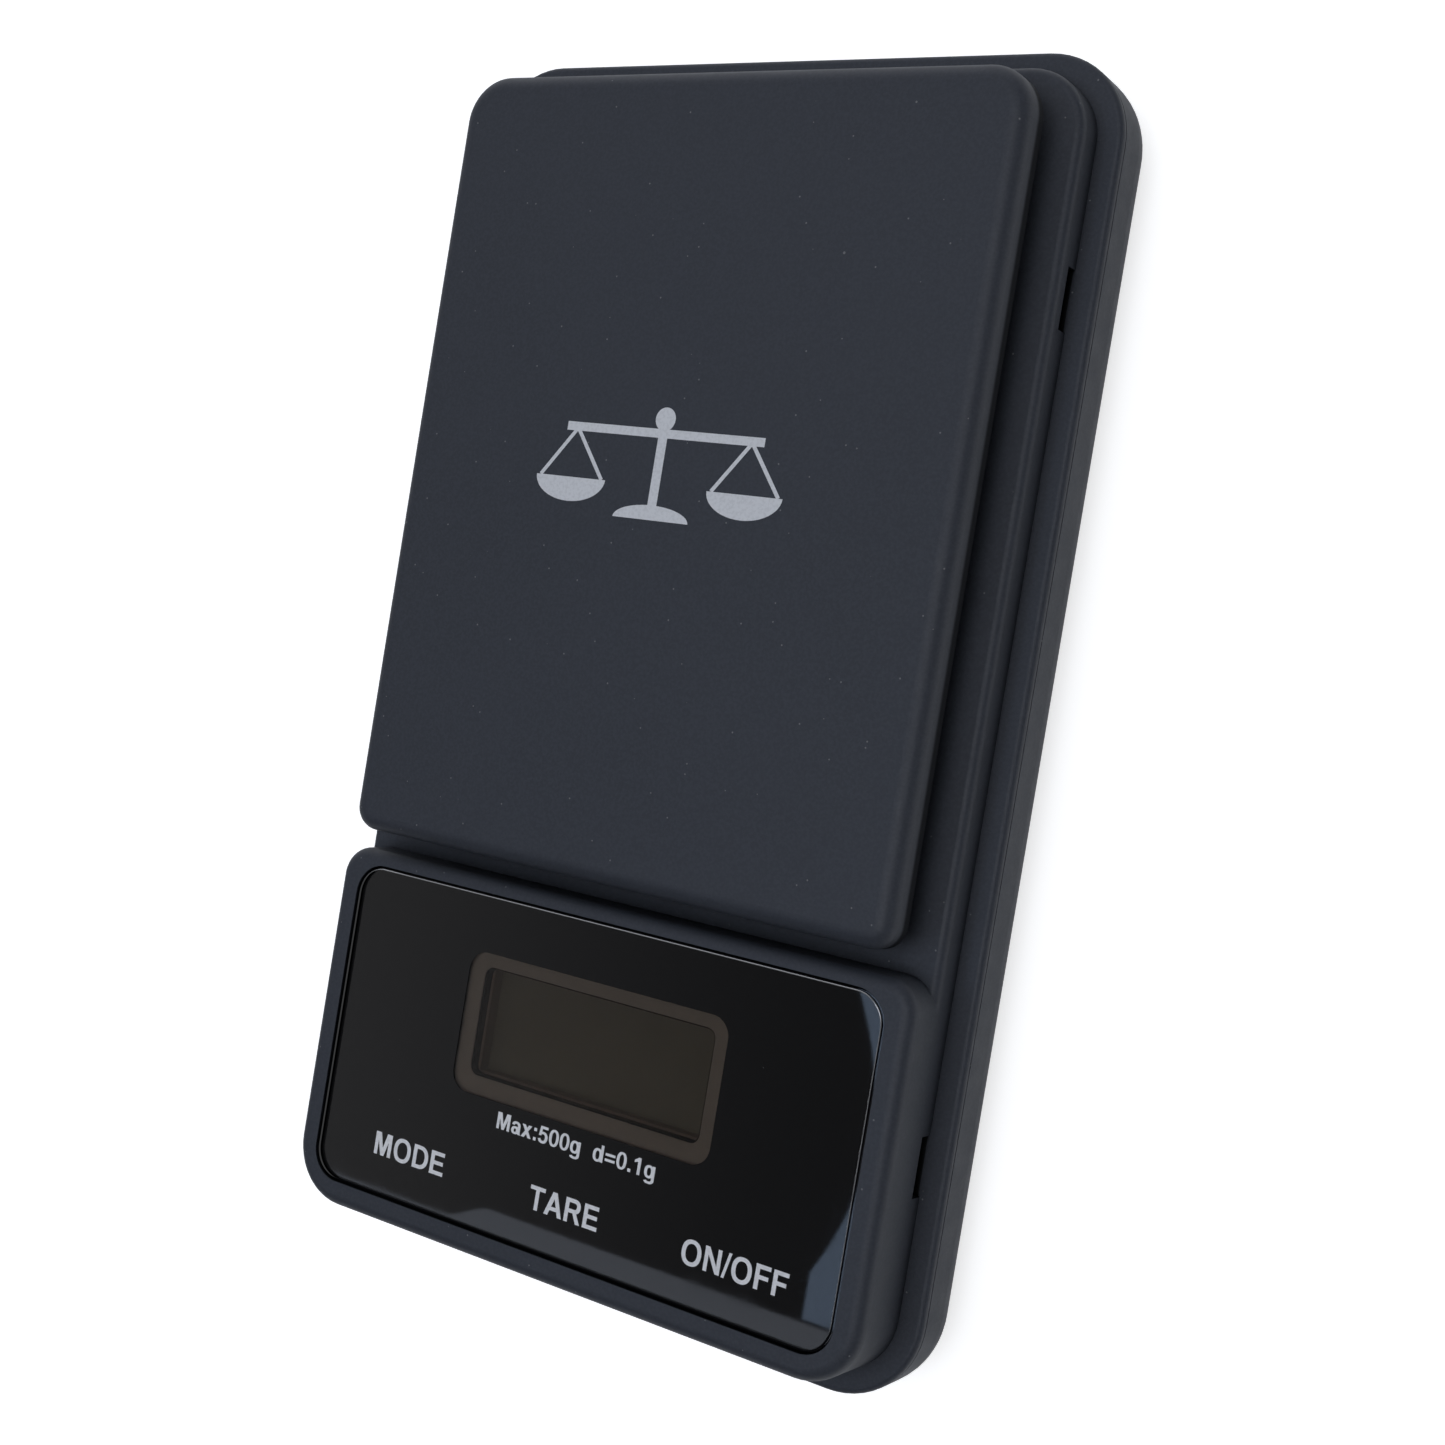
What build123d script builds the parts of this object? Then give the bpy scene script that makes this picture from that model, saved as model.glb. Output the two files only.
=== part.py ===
"""Digital pocket gram scale with a weighing tray, a display block and three film keys.

Millimetres. +Z is up out of the tray, +Y points from the display to the tray end, and the
origin is the centre of the feet's resting plane. Each sub-part is one node in parts/.
"""
from build123d import *

import os

os.makedirs("parts", exist_ok=True)

# ---- driving dimensions ---------------------------------------------------------------
body_width = 77.0
body_length = 131.2
body_corner = 9.0
bottom_round = 5.0
wall = 1.8
floor_thickness = 2.0
foot_height = 0.8
overlap = 0.5

# levels above the resting plane
housing_bottom = foot_height
parting_level = 9.2
parting_gap = 0.15
ledge_level = 10.2
ledge_edge_round = 0.6
deck_level = 13.6
bezel_level = 18.0
tray_rim_level = 17.0
tray_top_level = 20.6

# raised deck of the top housing
ledge_width = 2.5
deck_width = body_width - 2 * ledge_width
deck_length = body_length - 2 * ledge_width
deck_corner = 6.6
deck_edge_round = 0.85
deck_skin = 1.5
wall_draft = 1.0
skirt_level = 7.5
fit_gap = 0.15

# display block and its glossy overlay
block_back = -23.45
block_back_corner = 3.5
block_edge_round = 1.35
overlay_width = 66.0
overlay_length = 34.8
overlay_corner = 3.3
overlay_thickness = 1.2
overlay_bevel = 0.25
overlay_centre_y = -42.7
overlay_gap = 0.14
overlay_drop = 0.05
adhesive_thickness = 0.12
adhesive_inset = 0.5
adhesive_window_margin = 0.15
recess_plate = 1.0
window_width = 29.0
window_length = 11.3
window_corner = 0.9
window_centre_y = -38.75

# tray
tray_width = 66.8
tray_front = -21.35
tray_back = 61.25
tray_front_corner = 2.6
tray_back_corner = 5.0
tray_edge_round = 1.8
tray_skin = 2.0
tray_side_wall = 1.7
tray_inner_corner = 1.5
tray_peg_radius = 1.5
tray_peg_places = [(x, y) for x in (-20.0, 20.0) for y in (-6.0, 46.0)]

# keys, switches and circuit board
key_places = {"mode": -20.5, "tare": 0.4, "power": 21.2}
key_y = -54.6
key_travel = 0.3
key_boss_radius = 3.0
key_flange_radius = 4.0
key_slack = 0.05
key_chamfer = 0.3
stem_chamfer = 0.2
switch_size = 6.2
switch_body_height = 3.5
switch_stem_radius = 1.7
switch_stem_height = 0.8
switch_corner = 0.5
guide_gap = 0.06
board_width = 54.0
board_front = -59.6
board_back = -26.6
board_top = 10.5
board_thickness = 1.2
board_corner = 2.0
resin_radius = 4.5
resin_height = 1.3
resin_round = 1.1
board_screw_places = [(x, y) for x in (-24.5, 24.5) for y in (-30.0, -46.0)]

# liquid-crystal glass
lcd_width = 36.0
lcd_length = 17.0
lcd_thickness = 1.8
lcd_depth = 2.4
lcd_contact_ledge = 1.5
lcd_frame_wall = 1.2
lcd_frame_corner = 1.0
lcd_slack = 0.1
zebra_width = 2.0
zebra_inset = 1.6
view_width = 28.4
view_length = 10.8

# batteries: two AAA cells lying across the body
cell_radius = 5.25
cell_length = 44.5
cell_nub_radius = 1.9
cell_nub_length = 1.0
cell_edge_round = 0.5
cell_slack = 0.2
battery_centre_y = -8.5
battery_room_length = 50.0
battery_room_width = 22.8
battery_room_wall = 1.2
battery_room_top = 10.5
contact_thickness = 0.3
contact_width = 8.6
hump_corner = 2.0
spring_radius = 2.6
spring_wire = 0.3
spring_pitch = 1.06
spring_slack = 0.02
door_width = 53.0
door_length = 26.0
door_thickness = 1.35
door_lift = 0.05
latch_width = 12.0
latch_reach = 3.0
scoop_radius = 5.2
scoop_depth = 1.0
grip_pitch = 2.0
grip_width = 0.9
grip_depth = 0.4
door_corner = 1.0
hinge_barrel_radius = 1.0
hinge_pin_radius = 0.5
hinge_pin_length = 1.0
hinge_pin_gap = 0.05

# load cell: a beam across the body under the tray's centre
beam_length = 47.0
beam_width = 12.0
beam_height = 6.0
beam_bottom = 5.0
beam_end_x = 19.5
beam_screw_offset = 3.0
beam_screw_short = 1.0
beam_bore_radius = 2.2
beam_bore_offset = 4.0
beam_slot_height = 1.6
beam_chamfer = 0.4
tray_travel = 0.35
stop_margin = 0.05
gauge_length = 5.0
gauge_width = 4.0
gauge_thickness = 0.25
carrier_width = 54.0
carrier_length = 66.0
carrier_bottom = 17.1
carrier_corner = 5.0
column_length = 11.0
column_width = 13.0
column_corner = 1.0
column_clearance = 3.0
screw_shelf_thickness = 2.6
stop_screw_radius = 1.48
stop_screw_bottom = 1.3
stop_screw_chamfer = 0.3
screw_slot_width = 0.5
screw_slot_depth = 0.8

# wires, lying side by side in lanes
gauge_wire_radius = 0.33
gauge_wire_pitch = 0.9
gauge_wire_bend = 0.6
gauge_wire_start_x = -7.0
gauge_wire_run_x = -29.0
gauge_wire_turn = 1.7
gauge_wire_end_x = -20.6
battery_wire_radius = 0.4
battery_wire_pitch = 1.8
battery_wire_bend = 1.0
battery_wire_run_x = 29.0
battery_wire_turn = 1.7
battery_wire_end_x = 21.3
solder_y = -28.3

# fasteners, feet and lid slots
screw_post_radius = 3.0
deck_post_radius = 2.6
board_post_radius = 2.2
housing_screw_head = 2.0
housing_screw_head_height = 1.4
housing_screw_shank = 1.0
beam_screw_head = 2.3
beam_screw_head_height = 1.5
beam_screw_shank = 1.25
board_screw_head = 1.7
board_screw_head_height = 1.2
board_screw_shank = 0.8
board_screw_depth = 3.0
head_clearance = 0.15
shank_clearance = 0.2
thread_clearance = 0.02
housing_screw_places = [(x, y) for x in (-31.0, 31.0) for y in (-44.0, 44.0)]
housing_screw_seat = 3.2
foot_places = [(x, y) for x in (-27.5, 27.5) for y in (-54.5, 54.5)]
foot_radius = 4.0
foot_recess = 0.6
foot_edge_round = 0.4
slot_length = 6.0
slot_height = 1.6
slot_places = [-41.6, 41.6]

# ---- values worked out from the driving dimensions ------------------------------------
floor_level = housing_bottom + floor_thickness
flange_bottom = parting_level + parting_gap
deck_under = deck_level - deck_skin
overlay_top = bezel_level - overlay_drop
overlay_bottom = overlay_top - overlay_thickness
recess_level = overlay_bottom - adhesive_thickness
plate_under = recess_level - recess_plate
block_front = -deck_length / 2
block_length = block_back - block_front
block_centre_y = (block_front + block_back) / 2
tray_length = tray_back - tray_front
tray_centre_y = (tray_back + tray_front) / 2
tray_under = tray_top_level - tray_skin
post_top = parting_level - 0.3
board_bottom = board_top - board_thickness
board_centre_y = (board_front + board_back) / 2
switch_top = board_top + switch_body_height
stem_top = switch_top + switch_stem_height
stem_guide = 0.7
stem_cavity = stem_guide + key_travel + 0.1
stop_gap = tray_travel + stop_margin
lcd_top = recess_level - lcd_depth
lcd_bottom = lcd_top - lcd_thickness
beam_top = beam_bottom + beam_height
beam_middle = beam_bottom + beam_height / 2
pocket_depth = door_thickness + door_lift
door_top = housing_bottom + door_thickness
hinge_y = battery_centre_y - door_length / 2 + fit_gap + hinge_barrel_radius
hinge_z = housing_bottom + hinge_barrel_radius
latch_y = battery_centre_y + door_length / 2
barrel_end = door_width / 2 - fit_gap
pin_end = barrel_end + hinge_pin_length
cell_axis = door_top + cell_slack + cell_radius
cell_offset_y = cell_radius + cell_slack
cell_places = [battery_centre_y - cell_offset_y, battery_centre_y + cell_offset_y]
room_end = battery_room_length / 2
hump_inside = cell_axis + cell_radius + cell_slack
hump_top = hump_inside + battery_room_wall
free_end_screws = [(beam_end_x, tray_centre_y + s * beam_screw_offset) for s in (-1, 1)]
fixed_end_screws = [(-beam_end_x, tray_centre_y + s * beam_screw_offset) for s in (-1, 1)]


# ---- helpers --------------------------------------------------------------------------
def save(part, name):
    """Label one sub-part and write its STEP file."""
    part.label = name
    export_step(part, f"parts/{name}.step")


def level(z):
    """Horizontal plane at a height."""
    return Plane.XY.offset(z)


def discs(places, radius, start, end, mode=Mode.ADD):
    """Round posts, or round holes, at several places from one level to another."""
    with BuildSketch(level(start)) as outline:
        with Locations(*places):
            Circle(radius)
    extrude(outline.sketch, amount=end - start, mode=mode)


def blocks(places, width, length, start, end, mode=Mode.ADD):
    """Upright rectangular blocks, or pockets, at several places."""
    with BuildSketch(level(start)) as outline:
        with Locations(*places):
            Rectangle(width, length)
    extrude(outline.sketch, amount=end - start, mode=mode)


def plate(centre_y, width, length, corner, start, end, mode=Mode.ADD):
    """Plate or pocket with rounded corners, centred on X = 0."""
    with BuildSketch(level(start)) as outline:
        with Locations((0, centre_y)):
            RectangleRounded(width, length, corner)
    extrude(outline.sketch, amount=end - start, mode=mode)


def cross_head_screws(places, seat, tip, head_radius, head_height, shank_radius):
    """Pan-head cross-recess screws standing between a head seat and a tip level."""
    side = 1 if seat > tip else -1
    head_end = seat + side * head_height
    with BuildPart() as screws:
        discs(places, head_radius, min(seat, head_end), max(seat, head_end))
        outer_faces = screws.faces().filter_by(Plane(origin=(0, 0, head_end)))
        fillet(outer_faces.edges(), head_height * 0.35)
        discs(places, shank_radius, min(seat, tip), max(seat, tip))
        recess_depth = side * head_height * 0.6
        cross_reach = head_radius * 1.2
        for width, length in ((cross_reach, screw_slot_width), (screw_slot_width, cross_reach)):
            blocks(places, width, length, head_end - recess_depth, head_end, Mode.SUBTRACT)
    return screws


# ---- bottom housing -------------------------------------------------------------------
with BuildPart() as bottom_hollow:
    plate(0, body_width - 2 * wall, body_length - 2 * wall, body_corner - wall,
          floor_level, parting_level + 1)
    fillet(bottom_hollow.faces().sort_by(Axis.Z)[0].edges(), bottom_round - wall)

with BuildPart() as bottom_housing:
    plate(0, body_width, body_length, body_corner, housing_bottom, parting_level)
    fillet(bottom_housing.faces().sort_by(Axis.Z)[0].edges(), bottom_round)
    add(bottom_hollow.part, mode=Mode.SUBTRACT)
    # posts for the housing screws, pedestal and stop post for the beam
    discs(housing_screw_places, screw_post_radius, floor_level - overlap, post_top)
    blocks([(-beam_end_x, tray_centre_y)], column_length, beam_width + 2,
           floor_level - overlap, beam_bottom)
    discs([(beam_end_x, tray_centre_y)], screw_post_radius, floor_level - overlap,
          beam_bottom - stop_gap - 0.2)
    # walls round the battery room
    blocks([(0, battery_centre_y)], battery_room_length + 2 * battery_room_wall,
           battery_room_width + 2 * battery_room_wall, floor_level - overlap, battery_room_top)
    blocks([(0, battery_centre_y)], battery_room_length, battery_room_width,
           housing_bottom, battery_room_top, Mode.SUBTRACT)
    # pocket for the door and its latch tab, and a scoop for a fingernail
    plate(battery_centre_y, door_width, door_length, door_corner,
          housing_bottom, housing_bottom + pocket_depth, Mode.SUBTRACT)
    blocks([(0, latch_y)], latch_width + 2 * fit_gap, 2 * latch_reach + 2 * fit_gap,
           housing_bottom, housing_bottom + pocket_depth, Mode.SUBTRACT)
    with BuildSketch(Plane.YZ.offset(-latch_width / 2)) as scoop:
        with Locations((latch_y + latch_reach, housing_bottom + scoop_depth - scoop_radius)):
            Circle(scoop_radius)
    extrude(scoop.sketch, amount=latch_width, mode=Mode.SUBTRACT)
    # channel for the door's hinge barrel, with a blind hole at each end for its pins
    blocks([(0, hinge_y)], door_width, 2 * (hinge_barrel_radius + fit_gap),
           housing_bottom, hinge_z + hinge_barrel_radius + fit_gap, Mode.SUBTRACT)
    with BuildSketch(Plane.YZ.offset(-pin_end - fit_gap)) as pin_holes:
        with Locations((hinge_y, hinge_z)):
            Circle(hinge_pin_radius + hinge_pin_gap)
    extrude(pin_holes.sketch, amount=2 * (pin_end + fit_gap), mode=Mode.SUBTRACT)
    # recesses for the feet, then the screw holes from below
    discs(foot_places, foot_radius + 0.02, housing_bottom, housing_bottom + foot_recess,
          Mode.SUBTRACT)
    discs(housing_screw_places, housing_screw_head + head_clearance,
          housing_bottom, housing_screw_seat, Mode.SUBTRACT)
    discs(housing_screw_places, housing_screw_shank + shank_clearance,
          housing_bottom, post_top, Mode.SUBTRACT)
    discs(fixed_end_screws, beam_screw_head + head_clearance,
          housing_bottom, housing_screw_seat, Mode.SUBTRACT)
    discs(fixed_end_screws, beam_screw_shank + shank_clearance,
          housing_bottom, beam_bottom, Mode.SUBTRACT)
    discs([(beam_end_x, tray_centre_y)], stop_screw_radius + thread_clearance,
          housing_bottom, beam_bottom, Mode.SUBTRACT)
save(bottom_housing.part, "bottom_housing")

# ---- top housing ----------------------------------------------------------------------
with BuildPart() as raised_deck:
    with BuildSketch(level(flange_bottom)):
        RectangleRounded(deck_width, deck_length, deck_corner)
    extrude(amount=deck_level - flange_bottom, taper=wall_draft)
    fillet(raised_deck.faces().sort_by(Axis.Z)[-1].edges(), deck_edge_round)

with BuildPart() as display_block:
    with BuildSketch(level(flange_bottom)) as block_outline:
        with Locations((0, block_centre_y)):
            Rectangle(deck_width, block_length)
        fillet(block_outline.vertices().group_by(Axis.Y)[0], deck_corner)
        fillet(block_outline.vertices().group_by(Axis.Y)[-1], block_back_corner)
    extrude(amount=bezel_level - flange_bottom, taper=wall_draft)
    fillet(display_block.faces().sort_by(Axis.Z)[-1].edges(), block_edge_round)

with BuildPart() as top_hollow:
    plate(0, deck_width - 2 * wall, deck_length - 2 * wall, deck_corner - wall,
          skirt_level - overlap, deck_under)
    blocks([(0, block_centre_y)], deck_width - 2 * wall - 2 * deck_corner,
           block_length - 2 * wall, deck_under - overlap, plate_under)
    blocks([(0, block_centre_y + deck_corner / 2)], deck_width - 2 * wall,
           block_length - 2 * wall - deck_corner, deck_under - overlap, plate_under)

with BuildPart() as top_housing:
    # ledge flange with a softened outer edge
    plate(0, body_width, body_length, body_corner, flange_bottom, ledge_level)
    fillet(top_housing.faces().sort_by(Axis.Z)[-1].edges(), ledge_edge_round)
    # skirt that locates the flange inside the bottom housing
    plate(0, body_width - 2 * wall - 2 * fit_gap, body_length - 2 * wall - 2 * fit_gap,
          body_corner - wall - fit_gap, skirt_level, flange_bottom)
    add(raised_deck.part)
    add(display_block.part)
    # hump over the cells, hidden under the tray
    plate(battery_centre_y, battery_room_length + 2 * battery_room_wall,
          battery_room_width + 2 * battery_room_wall, hump_corner,
          deck_level - overlap, hump_top)
    add(top_hollow.part, mode=Mode.SUBTRACT)
    blocks([(0, battery_centre_y)], battery_room_length, battery_room_width,
           deck_under - overlap, hump_inside, Mode.SUBTRACT)
    # posts for the housing screws and the circuit board
    deck_posts = [place for place in housing_screw_places if place[1] > block_back]
    block_posts = [place for place in housing_screw_places if place[1] < block_back]
    discs(deck_posts, deck_post_radius, post_top + 0.1, deck_under + overlap)
    discs(block_posts, deck_post_radius, post_top + 0.1, plate_under + overlap)
    discs(board_screw_places, board_post_radius, board_top, plate_under + overlap)
    discs(housing_screw_places, housing_screw_shank + thread_clearance,
          post_top, deck_under, Mode.SUBTRACT)
    discs(board_screw_places, board_screw_shank + thread_clearance,
          board_top, board_top + board_screw_depth + 1, Mode.SUBTRACT)
    # recess for the overlay, window and key holes in its floor
    plate(overlay_centre_y, overlay_width + 2 * overlay_gap, overlay_length + 2 * overlay_gap,
          overlay_corner + overlay_gap, recess_level, bezel_level + 1, Mode.SUBTRACT)
    plate(window_centre_y, window_width, window_length, window_corner,
          plate_under - overlap, bezel_level, Mode.SUBTRACT)
    discs([(x, key_y) for x in key_places.values()], key_boss_radius + fit_gap,
          plate_under - overlap, bezel_level, Mode.SUBTRACT)
    # opening for the carrier's column
    blocks([(beam_end_x, tray_centre_y)], column_length + column_clearance,
           column_width + column_clearance, deck_under - overlap, deck_level + overlap,
           Mode.SUBTRACT)
    # slots for the lid's hooks, just above the ledge
    blocks([(x, y) for x in (-deck_width / 2, deck_width / 2) for y in slot_places],
           2 * wall + 1, slot_length, ledge_level, ledge_level + slot_height, Mode.SUBTRACT)
save(top_housing.part, "top_housing")

# ---- overlay and its adhesive ---------------------------------------------------------
with BuildPart() as front_overlay:
    plate(overlay_centre_y, overlay_width, overlay_length, overlay_corner,
          overlay_bottom, overlay_top)
    chamfer(front_overlay.faces().sort_by(Axis.Z)[-1].edges(), overlay_bevel)
save(front_overlay.part, "front_overlay")

with BuildPart() as overlay_adhesive:
    plate(overlay_centre_y, overlay_width - 2 * adhesive_inset,
          overlay_length - 2 * adhesive_inset, overlay_corner - adhesive_inset,
          recess_level, overlay_bottom)
    plate(window_centre_y, window_width + 2 * adhesive_window_margin,
          window_length + 2 * adhesive_window_margin, window_corner + adhesive_window_margin,
          recess_level, overlay_bottom, Mode.SUBTRACT)
    discs([(x, key_y) for x in key_places.values()], key_boss_radius + fit_gap,
          recess_level, overlay_bottom, Mode.SUBTRACT)
save(overlay_adhesive.part, "overlay_adhesive")

# ---- liquid-crystal display -----------------------------------------------------------
with BuildPart() as lcd_display:
    blocks([(0, window_centre_y)], lcd_width, lcd_length, lcd_bottom, lcd_top)
    # the lower glass carries the contacts, so it reaches past the upper one
    blocks([(0, window_centre_y - lcd_length / 2)], lcd_width, 2 * lcd_contact_ledge,
           lcd_bottom + lcd_thickness / 2, lcd_top, Mode.SUBTRACT)
save(lcd_display.part, "lcd_display")

with BuildPart() as lcd_frame:
    plate(window_centre_y, lcd_width + 2 * (lcd_frame_wall + lcd_slack),
          lcd_length + 2 * (lcd_frame_wall + lcd_slack), lcd_frame_corner,
          board_top, plate_under)
    blocks([(0, window_centre_y)], lcd_width + 2 * lcd_slack, lcd_length + 2 * lcd_slack,
           board_top, lcd_top, Mode.SUBTRACT)
    blocks([(0, window_centre_y)], view_width, view_length,
           board_top, plate_under, Mode.SUBTRACT)
save(lcd_frame.part, "lcd_frame")

with BuildPart() as zebra_strips:
    strip_offset = lcd_length / 2 - zebra_inset
    blocks([(0, window_centre_y - strip_offset), (0, window_centre_y + strip_offset)],
           lcd_width - 2 * zebra_inset, zebra_width, board_top, lcd_bottom)
save(zebra_strips.part, "zebra_strips")

# ---- circuit board and what sits on it ------------------------------------------------
with BuildPart() as circuit_board:
    plate(board_centre_y, board_width, board_back - board_front, board_corner,
          board_bottom, board_top)
    discs(board_screw_places, board_screw_shank + shank_clearance,
          board_bottom, board_top, Mode.SUBTRACT)
save(circuit_board.part, "circuit_board")

with BuildPart() as board_components:
    # resin dome over the bonded controller
    with BuildSketch(level(board_bottom)):
        with Locations((2.0, -38.0)):
            Circle(resin_radius)
    extrude(amount=-resin_height)
    fillet(board_components.faces().sort_by(Axis.Z)[0].edges(), resin_round)
    # converter, regulator and capacitors on the underside
    blocks([(-14.0, -52.0)], 6.0, 5.0, board_bottom - 1.5, board_bottom)
    blocks([(13.0, -50.0)], 3.0, 2.6, board_bottom - 1.1, board_bottom)
    blocks([(x, -56.0) for x in (-4.0, 0.0, 4.0)], 1.6, 0.8, board_bottom - 0.6, board_bottom)
    discs([(-8.0, -30.5), (16.0, -33.0)], 2.5, board_bottom - 4.5, board_bottom)
save(board_components.part, "board_components")

with BuildPart() as tact_switch_bodies:
    switch_places = [(x, key_y) for x in key_places.values()]
    blocks(switch_places, switch_size, switch_size, board_top, switch_top)
    chamfer(tact_switch_bodies.edges().filter_by(Axis.Z), switch_corner)
    discs(switch_places, switch_stem_radius + guide_gap, switch_top - stem_cavity, switch_top,
          Mode.SUBTRACT)
save(tact_switch_bodies.part, "tact_switch_bodies")

for key_name, key_x in key_places.items():
    with BuildPart() as stem:
        discs([(key_x, key_y)], switch_stem_radius, switch_top - stem_guide, stem_top)
        chamfer(stem.faces().sort_by(Axis.Z)[-1].edges(), stem_chamfer)
    save(stem.part, f"{key_name}_switch_stem")

    with BuildPart() as key:
        discs([(key_x, key_y)], key_flange_radius, stem_top, plate_under - key_slack)
        discs([(key_x, key_y)], key_boss_radius, stem_top, overlay_bottom - key_slack)
        chamfer(key.faces().sort_by(Axis.Z)[-1].edges(), key_chamfer)
    save(key.part, f"{key_name}_key")

board_screws = cross_head_screws(board_screw_places, board_bottom,
                                 board_top + board_screw_depth, board_screw_head,
                                 board_screw_head_height, board_screw_shank)
save(board_screws.part, "board_screws")

# ---- load cell ------------------------------------------------------------------------
with BuildPart() as load_cell:
    blocks([(0, tray_centre_y)], beam_length, beam_width, beam_bottom, beam_top)
    chamfer(load_cell.edges().filter_by(Axis.Z), beam_chamfer)
    # double bore joined by a slot leaves four thin hinges
    with BuildSketch(Plane.XZ.offset(-tray_centre_y - beam_width)) as double_bore:
        with Locations((-beam_bore_offset, beam_middle), (beam_bore_offset, beam_middle)):
            Circle(beam_bore_radius)
        with Locations((0, beam_middle)):
            Rectangle(2 * beam_bore_offset, beam_slot_height)
    extrude(double_bore.sketch, amount=2 * beam_width, mode=Mode.SUBTRACT)
    discs(fixed_end_screws + free_end_screws, beam_screw_shank + thread_clearance,
          beam_bottom, beam_top, Mode.SUBTRACT)
save(load_cell.part, "load_cell")

with BuildPart() as strain_gauges:
    gauge_places = [(x, tray_centre_y) for x in (-beam_bore_offset, beam_bore_offset)]
    blocks(gauge_places, gauge_length, gauge_width, beam_top, beam_top + gauge_thickness)
    blocks(gauge_places, gauge_length, gauge_width, beam_bottom - gauge_thickness, beam_bottom)
save(strain_gauges.part, "strain_gauges")

base_screws = cross_head_screws(fixed_end_screws, housing_screw_seat,
                                beam_top - beam_screw_short, beam_screw_head,
                                beam_screw_head_height, beam_screw_shank)
save(base_screws.part, "load_cell_base_screws")

with BuildPart() as overload_stop_screw:
    discs([(beam_end_x, tray_centre_y)], stop_screw_radius, stop_screw_bottom,
          beam_bottom - stop_gap)
    chamfer(overload_stop_screw.faces().sort_by(Axis.Z)[-1].edges(), stop_screw_chamfer)
    blocks([(beam_end_x, tray_centre_y)], 3 * stop_screw_radius, screw_slot_width,
           stop_screw_bottom, stop_screw_bottom + screw_slot_depth, Mode.SUBTRACT)
save(overload_stop_screw.part, "overload_stop_screw")

# ---- weighing platform ----------------------------------------------------------------
screw_shelf = beam_top + screw_shelf_thickness
with BuildPart() as platform_carrier:
    plate(tray_centre_y, carrier_width, carrier_length, carrier_corner,
          carrier_bottom, tray_under)
    with BuildSketch(level(beam_top)) as column:
        with Locations((beam_end_x, tray_centre_y)):
            RectangleRounded(column_length, column_width, column_corner)
    extrude(column.sketch, amount=carrier_bottom - beam_top)
    # lightening openings either side of the column
    with BuildSketch(level(carrier_bottom)) as openings:
        with Locations((-8.0, tray_centre_y + 18.0), (-8.0, tray_centre_y - 18.0)):
            RectangleRounded(22.0, 16.0, 3.0)
    extrude(openings.sketch, amount=tray_under - carrier_bottom, mode=Mode.SUBTRACT)
    discs(tray_peg_places, tray_peg_radius + guide_gap, carrier_bottom, tray_under,
          Mode.SUBTRACT)
    discs(free_end_screws, beam_screw_head + head_clearance, screw_shelf, tray_under,
          Mode.SUBTRACT)
    discs(free_end_screws, beam_screw_shank + shank_clearance, beam_top, screw_shelf,
          Mode.SUBTRACT)
save(platform_carrier.part, "platform_carrier")

platform_screws = cross_head_screws(free_end_screws, screw_shelf,
                                    beam_bottom + beam_screw_short, beam_screw_head,
                                    beam_screw_head_height, beam_screw_shank)
save(platform_screws.part, "platform_screws")

with BuildPart() as weighing_tray:
    with BuildSketch(level(tray_rim_level)) as tray_outline:
        with Locations((0, tray_centre_y)):
            Rectangle(tray_width, tray_length)
        fillet(tray_outline.vertices().group_by(Axis.Y)[0], tray_front_corner)
        fillet(tray_outline.vertices().group_by(Axis.Y)[-1], tray_back_corner)
    extrude(amount=tray_top_level - tray_rim_level)
    fillet(weighing_tray.faces().sort_by(Axis.Z)[-1].edges(), tray_edge_round)
    plate(tray_centre_y, tray_width - 2 * tray_side_wall, tray_length - 2 * tray_side_wall,
          tray_inner_corner, tray_rim_level, tray_under, Mode.SUBTRACT)
    discs(tray_peg_places, tray_peg_radius, tray_rim_level, tray_under)
save(weighing_tray.part, "weighing_tray")

# ---- batteries, contacts and door -----------------------------------------------------
with BuildPart() as aaa_cells:
    for cell_y, side in zip(cell_places, (-1, 1)):
        tip_x = side * (room_end - contact_thickness)
        shoulder_x = tip_x - side * cell_nub_length
        end_x = tip_x - side * cell_length
        with BuildSketch(Plane.YZ.offset(min(shoulder_x, end_x))) as barrel:
            with Locations((cell_y, cell_axis)):
                Circle(cell_radius)
        extrude(barrel.sketch, amount=abs(shoulder_x - end_x))
        with BuildSketch(Plane.YZ.offset(min(shoulder_x, tip_x))) as nub:
            with Locations((cell_y, cell_axis)):
                Circle(cell_nub_radius)
        extrude(nub.sketch, amount=cell_nub_length)
    rims = aaa_cells.edges().filter_by(GeomType.CIRCLE)
    fillet(rims.filter_by(lambda rim: rim.radius > cell_nub_radius + 1), cell_edge_round)
save(aaa_cells.part, "aaa_cells")

contact_bottom = floor_level + 0.4
contact_top = battery_room_top + 2 * battery_wire_radius
contact_x = room_end - contact_thickness / 2
with BuildPart() as battery_contact_plates:
    blocks([(-contact_x, battery_centre_y)], contact_thickness, battery_room_width - 2,
           contact_bottom, battery_room_top)
    blocks([(contact_x, y) for y in cell_places], contact_thickness, contact_width,
           contact_bottom, contact_top)
save(battery_contact_plates.part, "battery_contact_plates")

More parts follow.
